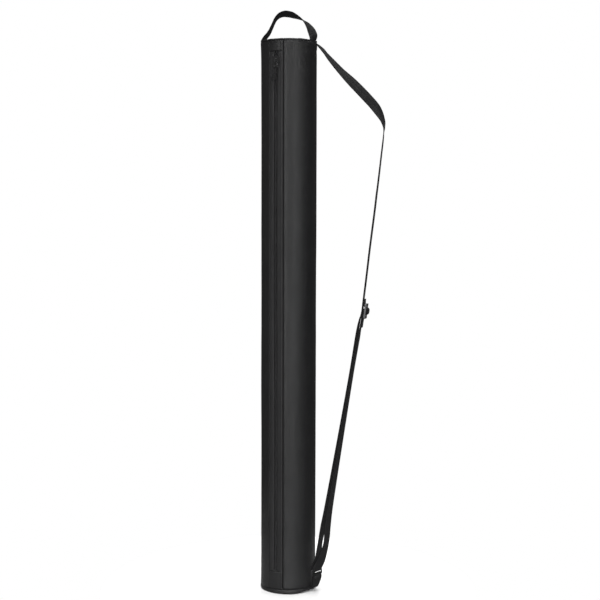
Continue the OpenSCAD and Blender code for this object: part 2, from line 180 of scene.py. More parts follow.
def woven(name, dark, light, pitch, depth, rough, sheen):
    """A plain weave of warp and weft threads that pass over and under each other."""
    n = Nodes(name, rough, sheen=sheen)
    u, v = n.uv()
    warp = n.math("SINE", n.math("MULTIPLY", u, 2 * math.pi / pitch))
    weft = n.math("SINE", n.math("MULTIPLY", v, 2 * math.pi / pitch))
    over = n.math("SIGN", n.math("MULTIPLY", n.math("SINE", n.math("MULTIPLY", u, math.pi / pitch)),
                                 n.math("SINE", n.math("MULTIPLY", v, math.pi / pitch))))
    picked = n.math("ADD", n.math("MULTIPLY", warp, n.math("GREATER_THAN", over, 0.0)),
                    n.math("MULTIPLY", weft, n.math("LESS_THAN", over, 0.0)))
    slub = n.noise(900.0, 2.0)
    height = n.math("ADD", n.math("MULTIPLY", picked, 0.5), n.math("MULTIPLY", slub, 0.6))
    patches = n.ramp(n.noise(14.0, 4.0), 0.35, 0.65, 0.0, 0.35)
    wear = n.ramp(n.noise(160.0, 5.0), 0.45, 0.75, 0.0, 0.3)
    # threads: painted shade in the weave, lighter on the thread crests and darker in the dips between them
    threads = n.ramp(picked, -1.0, 1.0, 0.0, 0.5)
    n.colour(n.math("ADD", n.math("ADD", patches, wear), threads), dark, light)
    n.rough(n.ramp(n.noise(40.0, 4.0), 0.3, 0.7, rough - 0.06, rough + 0.08))
    n.bump(height, depth, 0.7)
    return n.mat


def webbing(name, dark, light):
    """Ribbed webbing: fine cross ribs with a herringbone of fill threads."""
    rib_pitch, cord_pitch, zig_width = 1.5 * MM, 1.25 * MM, 2.5 * MM
    n = Nodes(name, 0.6, sheen=0.03, ior=1.4, specular=0.3)
    u, v = n.uv()
    zig = n.math("MULTIPLY", n.math("PINGPONG", u, zig_width), 0.5)
    rib = n.math("SINE", n.math("MULTIPLY", n.math("ADD", v, zig), 2 * math.pi / rib_pitch))
    cord = n.math("SINE", n.math("MULTIPLY", u, 2 * math.pi / cord_pitch))
    height = n.math("ADD", n.math("MULTIPLY", rib, 0.6), n.math("MULTIPLY", cord, 0.25))
    # Painted shade on the ribs, lighter on their crests and darker in the grooves, plus random tone from the
    # noise
    rib_shade_and_tone = n.math("ADD", n.ramp(rib, -1.0, 1.0, 0.0, 0.5), n.ramp(n.noise(120.0, 4.0), 0.4, 0.7, 0.0, 0.4))
    n.colour(rib_shade_and_tone, dark, light)
    n.rough(n.ramp(n.noise(300.0, 3.0), 0.3, 0.7, 0.52, 0.7))
    n.bump(height, 0.22 * MM, 0.9)
    return n.mat


def plain(name, dark, light, rough, grain, depth, coat=0.0, sheen=0.0):
    """Moulded plastic, enamel, thread or foam: a fine grain with scuffed patches."""
    n = Nodes(name, rough, sheen=sheen, coat=coat)
    n.colour(n.ramp(n.noise(grain * 0.2, 5.0), 0.4, 0.7, 0.0, 1.0), dark, light)
    n.rough(n.ramp(n.noise(grain * 0.1, 4.0), 0.35, 0.7, rough - 0.07, rough + 0.1))
    n.bump(n.noise(grain, 3.0), depth, 0.5)
    return n.mat


def floor_material():
    """Near white where the camera sees it, and grey where it only bounces light."""
    n = Nodes("floor", 0.65)
    n.colour(n.add("ShaderNodeLightPath").outputs["Is Camera Ray"], FLOOR_BOUNCE, FLOOR_SEEN)
    return n.mat


# ---------------------------------------------------------------- mesh helpers
def put(name, bm, mat):
    """A finished mesh becomes a smooth-shaded piece of one material."""
    mesh = bpy.data.meshes.new(name)
    bm.normal_update()
    bm.to_mesh(mesh)
    bm.free()
    mesh.materials.append(mat)
    for face in mesh.polygons:
        face.use_smooth = True
    piece = bpy.data.objects.new(name, mesh)
    bpy.context.scene.collection.objects.link(piece)
    return piece


def add_grid(bm, rows, uvs, loop=False, ends=False):
    """A sheet of quads through rows of points. loop closes each row, and ends caps the first and last."""
    layer = bm.loops.layers.uv.get("cloth") or bm.loops.layers.uv.new("cloth")
    verts = [[bm.verts.new(p) for p in row] for row in rows]
    width = len(rows[0])
    for i in range(len(rows) - 1):
        for j in range(width if loop else width - 1):
            k = (j + 1) % width
            face = bm.faces.new((verts[i][j], verts[i][k], verts[i + 1][k], verts[i + 1][j]))
            marks = (uvs[i][j], uvs[i][j + 1], uvs[i + 1][j + 1], uvs[i + 1][j])
            for corner, mark in zip(face.loops, marks):
                corner[layer].uv = mark
    if ends:
        for row in (list(reversed(verts[0])), verts[-1]):
            face = bm.faces.new(row)
            for corner in face.loops:
                corner[layer].uv = (corner.vert.co.x, corner.vert.co.y)


def spot(az, r, z):
    """A point at azimuth az, counted from the front (-Y) towards +X, and radius r."""
    return Vector((r * math.sin(az), -r * math.cos(az), z))


def thicken(piece, thick, offset):
    """Gives a sheet its thickness, inwards with offset -1 and outwards with 1."""
    mod = piece.modifiers.new("thickness", "SOLIDIFY")
    mod.thickness = thick
    mod.offset = offset


def capsule(bm, a, b, radius, out):
    """A stitch from a to b: a short rod with tapered ends that dips at both."""
    run = (b - a).normalized()
    out = out.normalized()
    side = run.cross(out).normalized()
    rows, uvs = [], []
    for t, k, lift in ((0, 0.35, -0.7), (0.18, 0.9, 0.1), (0.5, 1, 0.35), (0.82, 0.9, 0.1), (1, 0.35, -0.7)):
        centre = a.lerp(b, t) + out * radius * lift
        rows.append([
            centre + (side * math.cos(x) + out * math.sin(x)) * radius * k
            for x in (2 * math.pi * i / STITCH_SIDES for i in range(STITCH_SIDES))
        ])
        uvs.append([(i * radius, t) for i in range(STITCH_SIDES + 1)])
    add_grid(bm, rows, uvs, loop=True, ends=True)


def smooth_route(route, steps):
    """Catmull-Rom through the route's points, with the width's direction turned evenly between them."""
    made = []
    for i in range(len(route) - 1):
        a, b, c, d = (Vector(route[max(0, min(len(route) - 1, k))][0]) for k in (i - 1, i, i + 1, i + 2))
        for j in range(steps):
            t = j / steps
            p = 0.5 * (2 * b + (c - a) * t + (2 * a - 5 * b + 4 * c - d) * t * t
                       + (3 * b - a - 3 * c + d) * t ** 3)
            w = Vector(route[i][1]) * (1 - t) + Vector(route[i + 1][1]) * t
            made.append((p * MM, w))
    made.append((Vector(route[-1][0]) * MM, Vector(route[-1][1])))
    return made


def ribbon(name, route, mat, steps, wave=0.0):
    """Webbing along a route, with rounded edges and a slightly cupped face."""
    line = smooth_route(route, steps)
    bm = bmesh.new()
    rows, uvs, along = [], [], 0.0
    half = WEB_W / 2
    section = [(-1, -0.35), (-0.96, -0.8), (-0.8, -1), (-0.4, -0.94), (0, -0.92), (0.4, -0.94), (0.8, -1),
               (0.96, -0.8), (1, -0.35)]
    section += [(-x, -y) for x, y in section]
    for i, (p, w) in enumerate(line):
        run = (line[min(i + 1, len(line) - 1)][0] - line[max(i - 1, 0)][0]).normalized()
        w = (w - run * w.dot(run)).normalized()
        out = run.cross(w)
        if i:
            along += (p - line[i - 1][0]).length
        sway = wave * noise.noise(Vector((along * 18, 0.3, 0.7)))
        rows.append([p + w * (x * half) + out * (y * WEB_T / 2 + sway) for x, y in section])
        uvs.append([(x * half if y <= 0 else x * half + 0.1, along) for x, y in section + section[:1]])
    add_grid(bm, rows, uvs, loop=True, ends=True)
    return put(name, bm, mat)


# ---------------------------------------------------------------- the tube's shape
def flare(z):
    """How far the fabric stands out near the two end seams."""
    return 1.1 * MM * math.exp(-(TOP - z) / (14 * MM)) + 0.9 * MM * math.exp(-z / (12 * MM))


def ripple(az, z):
    """Soft dents of padded cloth, with shallow creases that fan out from both end seams."""
    where = Vector((math.sin(az) * 1.6, math.cos(az) * 1.6, z * 7))
    soft = 0.35 * MM * noise.noise(where) + 0.12 * MM * noise.noise(where * 4.1)
    crease = 0.0
    for centre, drop, turn, depth, wide in ((1.0, 14, 0.3, 0.9, 2.6), (0.75, 24, 0.45, 0.8, 3.2),
                                            (1.35, 20, -0.5, 0.7, 3.0), (2.4, 17, 0.4, 0.5, 3.0),
                                            (-2.3, 15, -0.4, 0.5, 3.0)):
        away = (TOP - z) / MM - drop - turn * (az - centre) * R / MM
        reach = math.exp(-(((az - centre) / 0.42) ** 2))
        crease -= depth * MM * reach * math.exp(-((away / wide) ** 2))
    for centre, rise, turn, depth, wide in ((1.15, 18, -0.5, 0.6, 3.0), (0.7, 12, 0.3, 0.4, 2.6),
                                            (-1.3, 13, 0.35, 0.4, 2.6), (2.6, 15, 0.4, 0.4, 3.0)):
        away = z / MM - rise - turn * (az - centre) * R / MM
        reach = math.exp(-(((az - centre) / 0.4) ** 2))
        crease -= depth * MM * reach * math.exp(-((away / wide) ** 2))
    return soft + crease


def chain_shift(z):
    """The zip wanders a little from side to side over its length."""
    return 1.1 * MM * math.sin(z * 7.3 + 0.4) * math.sin(math.pi * min(1, max(0, z / TOP)))


def strip(name, mat, profile, z0, z1, step, thick=0.7 * MM, follow=None):
    """A sheet on the tube: profile is a list of (azimuth, height over the tube's radius).

    follow says, for each point of the profile, how much of the chain's wandering it shares.
    """
    bm = bmesh.new()
    rows, uvs = [], []
    count = max(2, round((z1 - z0) / step))
    for i in range(count + 1):
        z = z0 + (z1 - z0) * i / count
        row, marks = [], []
        for k, (az, lift) in enumerate(profile):
            share = follow[k] if follow else 0.0
            at = az + share * chain_shift(z) / R
            row.append(spot(at, R + lift + flare(z) + ripple(az, z), z))
            marks.append((at * R, z))
        rows.append(row)
        uvs.append(marks)
    add_grid(bm, rows, uvs)
    piece = put(name, bm, mat)
    thicken(piece, thick, 1.0)
    return piece


def arc(a0, a1, count, lift=0.0):
    """Profile points at even steps from azimuth a0 to a1, all at one height over the tube."""
    return [(a0 + (a1 - a0) * i / count, lift) for i in range(count + 1)]


# ---------------------------------------------------------------- the bag's pieces
FABRIC = woven("oxford_fabric", (0.007, 0.007, 0.0074), (0.016, 0.016, 0.0166),
               pitch=0.9 * MM, depth=0.2 * MM, rough=0.37, sheen=0.01)
TAPE = woven("zip_tape_weave", (0.009, 0.009, 0.0095), (0.021, 0.021, 0.0218),
             pitch=0.6 * MM, depth=0.2 * MM, rough=0.52, sheen=0.01)
LINING = woven("lining_weave", (0.03, 0.03, 0.033), (0.06, 0.06, 0.064),
               pitch=0.5 * MM, depth=0.1 * MM, rough=0.6, sheen=0.1)
WEBBING = webbing("ribbed_webbing", (0.007, 0.007, 0.0075), (0.018, 0.018, 0.0188))
THREAD = plain("thread", (0.02, 0.02, 0.022), (0.045, 0.045, 0.048),
               rough=0.5, grain=2500.0, depth=0.05 * MM, sheen=0.2)
COIL = plain("coil_nylon", (0.012, 0.012, 0.013), (0.024, 0.024, 0.025),
             rough=0.42, grain=3000.0, depth=0.03 * MM)
ENAMEL = plain("black_enamel", (0.007, 0.007, 0.0075), (0.016, 0.016, 0.0165),
               rough=0.3, grain=2200.0, depth=0.03 * MM, coat=0.5)
MOULDED = plain("moulded_slide", (0.085, 0.087, 0.09), (0.13, 0.132, 0.136),
                rough=0.38, grain=2600.0, depth=0.04 * MM)
RING_PLASTIC = plain("moulded_ring", (0.02, 0.02, 0.022), (0.04, 0.04, 0.043),
                     rough=0.36, grain=2600.0, depth=0.04 * MM)
FOAM = plain("foam_cells", (0.13, 0.13, 0.14), (0.2, 0.2, 0.21), rough=0.85, grain=1500.0, depth=0.3 * MM)
BOARD = plain("board", (0.06, 0.06, 0.06), (0.09, 0.09, 0.09), rough=0.7, grain=900.0, depth=0.1 * MM)

# The zip panel's two edges as azimuths, the heights of the end seams, and half the chain's width
RIGHT = ZIP_AZ + PANEL / 2
LEFT = ZIP_AZ - PANEL / 2
FULL = 2 * math.pi
SEAM_TOP = TOP - 3.4 * MM
SEAM_LOW = 7.6 * MM
CHAIN = 2.7 * MM / R


def main_sheet():
    """The outer sheet: from the groove beside the zip, round the back, to the folded hem at its left."""
    groove = [(RIGHT + d * MM / R, h * MM)
              for d, h in ((1.0, -1.5), (1.1, -1.1), (1.5, -0.6), (2.2, -0.25), (3.4, -0.05))]
    body = arc(RIGHT + 5 * MM / R, FULL + LEFT - 5 * MM / R, 150)
    hem = [(FULL + LEFT - d * MM / R, h * MM)
           for d, h in ((3.6, 0.02), (2.4, 0.08), (1.3, 0.22), (0.7, 0.34), (0.2, 0.34), (-0.2, 0.1))]
    low, high = SEAM_LOW - 0.6 * MM, SEAM_TOP + 0.4 * MM
    piece = strip("main_sheet", FABRIC, groove + body + hem, low, high, step=4 * MM)
    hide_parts("outer_shell")
    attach(piece, "bag")


def zip_strips():
    """The two tapes beside the chain. The right one rolls over into a lip above the groove."""
    right = [(ZIP_AZ + CHAIN, -1.1), (ZIP_AZ + CHAIN + 0.02, -0.5)]
    right += [(RIGHT - d * MM / R, h) for d, h in ((6.2, -0.35), (5.0, -0.2), (3.8, 0.1), (2.8, 0.45),
                                                   (1.9, 0.75), (1.1, 0.9), (0.5, 0.8), (0.1, 0.35),
                                                   (-0.1, -0.3), (-0.05, -1.0))]
    left = [(LEFT - 1.2 * MM / R, -0.25), (LEFT + 0.6 * MM / R, -0.1)]
    left += [(LEFT + d * MM / R, h)
             for d, h in ((2, -0.1), (3.5, -0.15), (5, -0.2), (6.5, -0.3), (7.6, -0.4))]
    left += [(ZIP_AZ - CHAIN - 0.02, -0.55), (ZIP_AZ - CHAIN, -1.1)]
    z0, z1 = ZIP_Z0 - 1.5 * MM, ZIP_Z1 + 1 * MM
    for name, node, profile in (("tape_right", "zip_tape_right", right),
                                ("tape_left", "zip_tape_left", left)):
        near = [max(0.0, 1 - abs(az - ZIP_AZ) / (9 * MM / R)) ** 0.5 for az, _ in profile]
        piece = strip(name, TAPE, [(az, h * MM) for az, h in profile], z0, z1,
                      step=5 * MM, thick=0.5 * MM, follow=near)
        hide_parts(node)
        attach(piece, "bag")


def patches():
    """Plain fabric over the panel above and below the zip, with the tape's rolled lip at its right."""
    across = [(LEFT - 0.8 * MM / R, -0.3 * MM), (LEFT + 0.6 * MM / R, -0.05 * MM)]
    across += arc(LEFT + 2 * MM / R, RIGHT - 3 * MM / R, 10, 0.1 * MM)
    across += [(RIGHT - d * MM / R, h * MM) for d, h in ((1.9, 0.45), (1.0, 0.7), (0.3, 0.5), (-0.1, -0.4))]
    for name, node, z0, z1 in (("patch_top", "zip_top_patch", ZIP_Z1 - 1 * MM, SEAM_TOP),
                               ("patch_bottom", "zip_bottom_patch", SEAM_LOW, ZIP_Z0 + 1 * MM)):
        piece = strip(name, FABRIC, across, z0, z1, step=1.5 * MM, thick=0.8 * MM)
        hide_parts(node)
        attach(piece, "bag")


def coils():
    """Each side of the zip is a coil: a row of bent teeth that grip between the other side's teeth."""
    pitch = 1.7 * MM
    bend = [(-3.0, -0.8), (-2.0, -0.1), (-0.9, 0.1), (0.15, -0.05), (0.45, -0.5), (0.1, -1.0), (-1.4, -1.15)]
    for side, node in ((-1, "zip_coil_left"), (1, "zip_coil_right")):
        bm = bmesh.new()
        count = int((ZIP_Z1 - ZIP_Z0 - 8 * MM) / pitch)
        for i in range(count):
            z = ZIP_Z0 + 4.5 * MM + pitch * (i + (0.5 if side > 0 else 0))
            centre = ZIP_AZ + chain_shift(z) / R
            path = [spot(centre - side * x * MM / R, R + y * MM + flare(z) * 0.6, z + 0.12 * MM * k)
                    for k, (x, y) in enumerate(bend)]
            rows, uvs = [], []
            for k, p in enumerate(path):
                run = (path[min(k + 1, len(path) - 1)] - path[max(k - 1, 0)]).normalized()
                up = Vector((0, 0, 1))
                out = run.cross(up).normalized()
                fat = 0.62 * MM if k in (3, 4) else 0.52 * MM
                rows.append([p + (up * math.cos(t) + out * math.sin(t)) * fat
                             for t in (math.pi * (0.25 + 0.5 * c) for c in range(4))])
                uvs.append([(c * 0.25 * MM, k * MM) for c in range(5)])
            add_grid(bm, rows, uvs, loop=True, ends=True)
        piece = put("teeth_left" if side < 0 else "teeth_right", bm, COIL)
        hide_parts(node)
        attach(piece, "bag")


def topstitching():
    """Rows of single stitches along the panel's edges, beside the chain and across both ends of the zip."""
    bm = bmesh.new()
    step, long = 3.4 * MM, 2.5 * MM
    for az, lift in ((LEFT - 2.4 * MM / R, 0.25), (RIGHT - 2.6 * MM / R, 0.5),
                     (ZIP_AZ - CHAIN - 1.9 * MM / R, -0.4)):
        count = int((SEAM_TOP - SEAM_LOW - 6 * MM) / step)
        for i in range(count):
            z = SEAM_LOW + 3 * MM + i * step
            ends = [spot(az, R + lift * MM + flare(h) + ripple(az, h), h) for h in (z, z + long)]
            capsule(bm, ends[0], ends[1], STITCH_R, spot(az, 1, 0))
    for z, lift in ((ZIP_Z1 + 2 * MM, 0.15), (ZIP_Z0 - 2.2 * MM, 0.15), (ZIP_Z0 - 5.2 * MM, 0.15)):
        for i in range(7):
            az = LEFT + (1.8 * MM + i * step * 0.95) / R
            ends = [spot(a, R + lift * MM + flare(z) + ripple(a, z), z) for a in (az, az + long / R)]
            capsule(bm, ends[0], ends[1], STITCH_R, spot(az, 1, 0))
    piece = put("seam_stitches", bm, THREAD)
    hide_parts("zip_topstitching")
    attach(piece, "bag")


# Azimuths of the ring's tab at the bottom, and of the webbing that crosses the top lip
TAB_AZ = math.radians(58)
FEET = [math.radians(-90), math.radians(57), math.radians(97)]


def smooth_step(value, width):
    """0 below zero, 1 above the width, smooth between."""
    t = min(1.0, max(0.0, value / width))
    return t * t * (3 - 2 * t)


def dent(az):
    """How far the top lip is pressed in, 0 to 1, where the webbing of the loop and the strap crosses it."""
    return max(smooth_step(13 * MM - abs(math.remainder(az - foot, FULL)) * R, 3 * MM) for foot in FEET)


def tuck(az):
    """How far the ring's tab draws the bottom edge up at one side."""
    return 3.2 * MM * smooth_step(34 * MM - abs(math.remainder(az - TAB_AZ, FULL)) * R, 26 * MM)


def rim(name, node, z_seam, z_end, fold):
    """The turned lip over an end seam: it pinches in at the seam, rolls out and closes over the edge."""
    up = 1 if z_end > z_seam else -1
    tall = abs(z_end - z_seam)
    section = [(-1.3, 0.0), (-0.35, 0.02), (0.25, 0.12), (0.7, 0.3), (fold, 0.55), (fold - 0.1, 0.78),
               (fold - 0.6, 0.93), (fold - 1.5, 1.0), (-1.4, 0.985), (-2.4, 0.9)]
    bm = bmesh.new()
    count = 200
    rows, uvs = [], []
    for k, (out, rise) in enumerate(section):
        row, marks = [], []
        for i in range(count):
            az = FULL * i / count
            ring = Vector((math.sin(az) * 2.3, math.cos(az) * 2.3, z_end * 5))
            wavy = 0.4 * noise.noise(ring) + 0.25 * noise.noise(ring * 3.3)
            lift = 0.5 * noise.noise(ring * 2.1 + Vector((7, 0, 0))) * rise
            r = R + (out + wavy * min(1.0, rise * 2) - 1.7 * (dent(az) if up > 0 else 0.0)) * MM
            if up > 0:
                z = z_seam + (tall * rise + lift * MM - 0.45 * MM * rise)
            else:
                z = z_seam - tall * rise + tuck(az) * rise
            row.append(spot(az, r + flare(z_end) * 0.7, z))
            marks.append((az * R, k * 1.1 * MM))
        rows.append(row)
        uvs.append(marks + [(FULL * R, k * 1.1 * MM)])
    add_grid(bm, rows, uvs, loop=True)
    if up < 0:
        bmesh.ops.reverse_faces(bm, faces=bm.faces)
    piece = put(name, bm, FABRIC)
    thicken(piece, 0.6 * MM, -1.0)
    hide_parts(node)
    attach(piece, "bag")


def end_panel(name, node, z, swell):
    """A round end panel: crowned at the top, and at the bottom flat but for the ring tab's tuck."""
    bm = bmesh.new()
    rings, count = 14, 96
    rows, uvs = [], []
    for k in range(rings + 1):
        r = (R - 1.2 * MM) * (0.02 + 0.98 * k / rings)
        row, marks = [], []
        for i in range(count):
            az = FULL * i / count
            p = spot(az, r, z)
            rise = swell * (1 - (r / R) ** 2)
            p.z += rise * (1 + 0.35 * noise.noise(p * 40)) if swell else tuck(az) * (r / R) ** 6
            row.append(p)
            marks.append((p.x, p.y))
        rows.append(row)
        uvs.append(marks + marks[:1])
    add_grid(bm, rows, uvs, loop=True)
    layer = bm.loops.layers.uv["cloth"]
    bm.verts.ensure_lookup_table()
    middle = bm.faces.new(list(reversed([bm.verts[i] for i in range(count)])))
    for corner in middle.loops:
        corner[layer].uv = (corner.vert.co.x, corner.vert.co.y)
    bmesh.ops.recalc_face_normals(bm, faces=bm.faces)
    piece = put(name, bm, FABRIC)
    thicken(piece, 0.8 * MM, -1.0 if swell else 1.0)
    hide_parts(node)
    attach(piece, "bag")


def rim_stitches():
    """Stitches sunk in both end seams."""
    bm = bmesh.new()
    for z in (SEAM_TOP - 0.4 * MM, SEAM_LOW + 0.3 * MM):
        count = 84
        for i in range(count):
            az = FULL * i / count
            ends = [spot(a, R - 0.15 * MM + flare(z) + ripple(a, z), z)
                    for a in (az, az + 0.66 * FULL / count)]
            capsule(bm, ends[0], ends[1], SEAM_STITCH_R, spot(az, 1, 0))
    piece = put("end_seam_stitches", bm, THREAD)
    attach(piece, "bag")


# ---------------------------------------------------------------- webbing
# A route is a list of (point in mm, direction of the webbing's width)
HAND = [
    [(-41.8, 0, 862), (0, 1, 0)], [(-42.7, 0, 866.4), (0, 1, 0)], [(-43.0, 0, 868.6), (0.05, 1, 0)],
    [(-41.2, -0.4, 871.6), (0.25, 0.97, 0)], [(-36.8, -1.2, 876.8), (0.42, 0.9, 0)],
    [(-32.8, -2, 881.4), (0.36, 0.93, 0)], [(-28.8, -3.5, 888), (0.26, 0.97, 0)],
    [(-25, -5, 896), (0.2, 0.98, -0.03)], [(-20.6, -6.5, 904), (0.18, 0.97, -0.12)],
    [(-13.4, -9, 909.8), (0.1, 0.92, -0.38)], [(-5, -11, 911.4), (0, 0.86, -0.5)],
    [(6, -15, 908.9), (-0.05, 0.88, -0.46)], [(18, -18, 903.2), (0.05, 1, -0.08)],
    [(26, -20, 897.2), (0.42, 0.9, 0.1)], [(31.3, -21.5, 890.4), (0.7, 0.7, 0.03)],
    [(34.6, -22.4, 884.4), (0.86, 0.5, 0)], [(37.2, -23.2, 877.6), (0.9, 0.43, 0)],
    [(37.2, -23.5, 872.4), (0.74, 0.67, 0)], [(36.4, -23.6, 868), (0.545, 0.838, 0)],
    [(35.4, -23, 862), (0.545, 0.838, 0)]
]
SIDE, UP = Vector((0.87, 0.45, 0.2)).normalized(), Vector((-0.06, -0.3, 0.95))
UP = (UP - SIDE * UP.dot(SIDE)).normalized()
OUT = SIDE.cross(UP)
RING_AT = Vector((45.5, -24.5, 27))
RING_PITCH = 9.5
RING_TOP = RING_AT + UP * RING_PITCH
RING_BAR_R = 1.2
HALF_T = WEB_T / MM / 2
GAP, TURN_GAP = 0.3, 1.2
WRAP = RING_BAR_R + GAP + HALF_T
TURN_R = RING_BAR_R + TURN_GAP + HALF_T
GLIDE_AT = Vector((117, -9, 448.5))
GLIDE_DIR = Vector((0.115, 0.012, 0.993)).normalized()
GLIDE_SIDE = Vector((0.2, 0.98, 0))
GLIDE_SIDE = (GLIDE_SIDE - GLIDE_DIR * GLIDE_SIDE.dot(GLIDE_DIR)).normalized()
GLIDE_OUT = GLIDE_SIDE.cross(GLIDE_DIR)
EVEN = tuple(GLIDE_SIDE)


def round_bar(centre, degrees, radius=WRAP):
    """A point of a turn of webbing round one of the ring's bars."""
    t = math.radians(degrees)
    return tuple(centre + (OUT * math.cos(t) + UP * math.sin(t)) * radius)


def by_glide(along, out):
    """A point beside the strap's slide, in mm along the strap and out from it."""
    return tuple(GLIDE_AT + GLIDE_DIR * along + GLIDE_OUT * out)


UPPER = [
    [(40.2, -5.4, 868.4), (0.06, 1, 0)], [(43.2, -5.3, 866.2), (0.1, 1, 0.06)],
    [(46.6, -5.2, 863.2), (0.2, 0.96, 0.2)], [(53, -5, 857), (0.28, 0.93, 0.28)],
    [(58, -5, 850.9), (0.3, 0.92, 0.27)], [(65.3, -5, 842.2), (0.4, 0.84, 0.36)],
    [(82.3, -5, 823.6), (0.53, 0.66, 0.5)], [(101, -5, 805), (0.7, 0.24, 0.66)],
    [(119.2, -5, 786.5), (0.73, 0.05, 0.68)], [(136, -5, 768), (0.76, 0.2, 0.6)],
    [(146.5, -5, 750), (0.55, 0.8, 0.2)], [(149.3, -5, 738), (0.25, 0.97, 0.05)],
    [(149, -5, 729), (0.06, 1, 0)], [(147.5, -5.2, 711), (0.14, 0.99, 0)],
    [(141.2, -6, 655), (0.18, 0.98, 0)], [by_glide(180, 0), EVEN], [by_glide(166, 0), EVEN],
    [by_glide(80, 0), EVEN], [by_glide(0, 0), EVEN]
]
LOWER = [
    [by_glide(0.2, 0), EVEN], [by_glide(-8, -0.9), EVEN], [by_glide(-16, -2.6), EVEN],
    [(108.4, -10.4, 410), (0.32, 0.95, 0)], [(99.4, -11, 350), (0.38, 0.92, 0)],
    [(86.3, -13, 273), (0.44, 0.9, 0)], [(72.7, -15.4, 196), (0.48, 0.87, 0)],
    [(61.9, -17.6, 135), (0.55, 0.83, 0)], [(56.2, -18.5, 105), (0.6, 0.8, 0.02)],
    [(50.9, -20, 76), (0.5, 0.86, 0.06)], [(47.6, -23, 52), (0.66, 0.74, 0.13)],
    [tuple(RING_TOP - OUT * TURN_R + UP * 3.5), tuple(SIDE)],
    *[[round_bar(RING_TOP, a, TURN_R), tuple(SIDE)] for a in range(180, 361, 30)],
    [tuple(RING_TOP + OUT * TURN_R + UP * 3.5), tuple(SIDE)], [(53.5, -27.8, 52), (0.8, 0.55, 0.15)],
    [(60.6, -26, 78), (0.6, 0.8, 0.06)], [(63.2, -22.6, 105), (0.62, 0.78, 0.02)],
    [(67.2, -19.6, 135.4), (0.55, 0.83, 0)], [(76.6, -17.2, 196), (0.48, 0.87, 0)],
    [(80.3, -16.3, 220), (0.47, 0.87, 0)]
]
# Heights over the strap at the slide: webbing under the bar, its sewn end, the slide, webbing over the bar
UNDER = 2 * HALF_T + GAP
SEWN = UNDER + 2 * HALF_T + 0.1
PLATE = HALF_T + 0.5 + 4 * HALF_T
THICK = 2.6
OVER = PLATE + THICK + 0.1 + HALF_T
SLIDE_BAR_HALF = 2.2
TURN = SLIDE_BAR_HALF + GAP + HALF_T
RETURN = [
    [(80.2, -16.35, 219), (0.47, 0.87, 0)], [(88.7, -14.2, 273), (0.44, 0.9, 0)],
    [(101.3, -12, 350), (0.34, 0.94, 0)], [(110.9, -11.1, 405), (0.32, 0.95, 0)],
    [by_glide(-30, UNDER - 1.6), EVEN], [by_glide(-16, UNDER - 1.0), EVEN],
    [by_glide(-TURN, UNDER), EVEN], [by_glide(TURN - 0.6, UNDER + 0.2), EVEN],
    [by_glide(TURN + 0.2, (OVER + UNDER) / 2), EVEN], [by_glide(TURN - 0.8, OVER - 0.1), EVEN],
    [by_glide(0, OVER + 0.1), EVEN], [by_glide(0.8 - TURN, OVER - 0.1), EVEN],
    [by_glide(-TURN - 0.2, (OVER + SEWN) / 2 + 0.2), EVEN], [by_glide(-TURN - 1.6, SEWN + 0.5), EVEN],
    [by_glide(-TURN - 4.4, SEWN), EVEN], [by_glide(-16, SEWN - 0.8), EVEN],
    [by_glide(-27, SEWN - 1.5), EVEN]
]
DIP = TURN + 2 * HALF_T + 0.5
CREST = OVER + 2 * HALF_T + 0.35
BIGHT = [
    [by_glide(19, UNDER + 0.3), EVEN], [by_glide(11, UNDER + 0.7), EVEN],
    [by_glide(DIP + 1.8, PLATE - 0.9), EVEN], [by_glide(DIP + 0.3, PLATE + 0.9), EVEN],
    [by_glide(DIP + 0.2, PLATE + THICK), EVEN], [by_glide(DIP - 1.2, CREST - 0.6), EVEN],
    [by_glide(2, CREST + 0.2), EVEN], [by_glide(-2, CREST + 0.2), EVEN],
    [by_glide(1.2 - DIP, CREST - 0.6), EVEN], [by_glide(-0.2 - DIP, PLATE + THICK), EVEN],
    [by_glide(-0.3 - DIP, PLATE + 0.4), EVEN]
]
TAB = [
    [(42.7, -22.3, 5), (0.6, 0.8, 0)], [(45.3, -24.2, 14), (0.75, 0.6, 0.1)],
    [tuple(RING_AT + OUT * WRAP - UP * 4), tuple(SIDE)],
    *[[round_bar(RING_AT, a), tuple(SIDE)] for a in range(0, 181, 30)],
    [tuple(RING_AT - OUT * WRAP - UP * 4), tuple(SIDE)], [(43.3, -22.2, 15), (0.75, 0.6, 0.1)],
    [(41.0, -21.2, 5), (0.6, 0.8, 0)]
]


def box_stitch(bm, centre, side, along, out, wide, long):
    """A sewn box with a cross in it."""
    corners = [centre + side * (sx * wide / 2) + along * (sy * long / 2)
               for sx, sy in ((-1, -1), (1, -1), (1, 1), (-1, 1))]
    lines = [(corners[i], corners[(i + 1) % 4]) for i in range(4)]
    lines += [(corners[0], corners[2]), (corners[1], corners[3])]
    for a, b in lines:
        count = max(2, round((b - a).length / (2.4 * MM)))
        for i in range(count):
            start, end = (a.lerp(b, (i + t) / count) for t in (0.12, 0.88))
            capsule(bm, start, end, BOX_STITCH_R, out)


